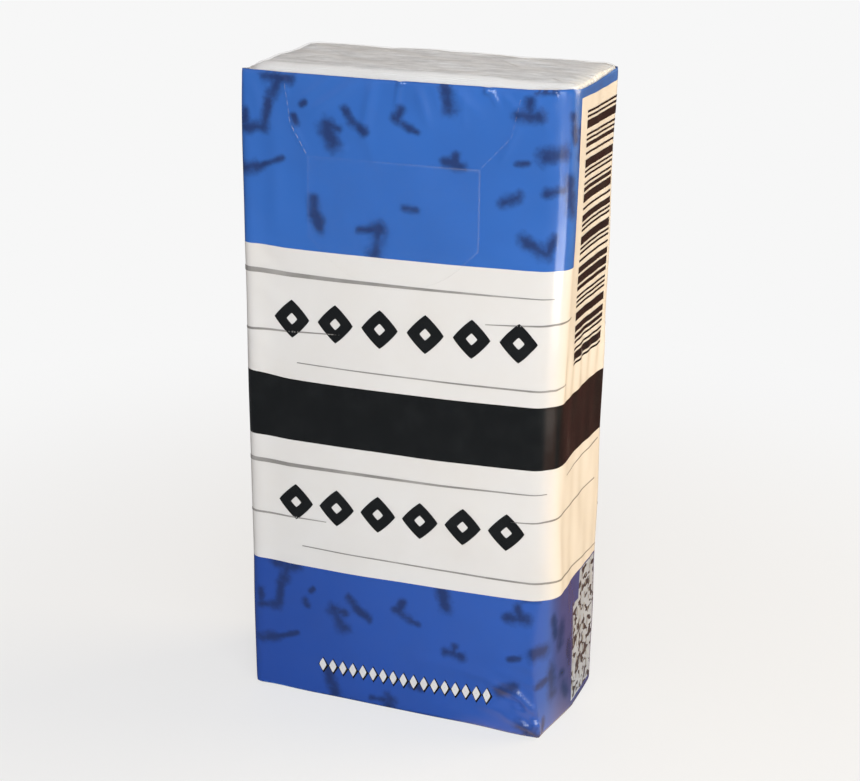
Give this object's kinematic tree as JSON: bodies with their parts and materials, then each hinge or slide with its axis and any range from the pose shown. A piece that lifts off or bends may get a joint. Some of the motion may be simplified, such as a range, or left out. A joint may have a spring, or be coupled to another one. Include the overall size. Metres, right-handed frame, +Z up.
{
  "type": "pocket tissue pack",
  "caption": "Standing pocket pack of folded tissues in a printed film wrapper with envelope-folded clear ends and a reseal label on the front.",
  "frame": {"origin": "middle of the bottom of the standing pack", "axes": "+Z up along the pack's height, -Y towards the front with the reseal label, X across the front"},
  "size_m": [0.0542, 0.0244, 0.108],
  "materials": {
    "clear_film": "clear heat-sealed film, glossy and slightly creased",
    "white_ink": "white print under glossy film",
    "blue_ink": "blue print under glossy film",
    "dark_blue_ink": "soft dark blue mottling under glossy film",
    "black_ink": "black print under glossy film",
    "grey_ink": "grey print under glossy film",
    "label_film": "clear adhesive label",
    "tissue": "soft white tissue with fine fibres"
  },
  "bodies": {
    "root": {"wrapper_film": "clear_film", "ink_white": "white_ink", "ink_blue": "blue_ink", "ink_dark_blue": "dark_blue_ink", "ink_black": "black_ink", "ink_grey": "grey_ink", "reseal_label": "label_film", "tissue_01": "tissue", "tissue_02": "tissue", "tissue_03": "tissue", "tissue_04": "tissue", "tissue_05": "tissue", "tissue_06": "tissue", "tissue_07": "tissue", "tissue_08": "tissue", "tissue_09": "tissue", "tissue_10": "tissue", "tissue_11": "tissue", "tissue_12": "tissue", "tissue_13": "tissue", "tissue_14": "tissue", "tissue_15": "tissue"}
  },
  "joints": []
}
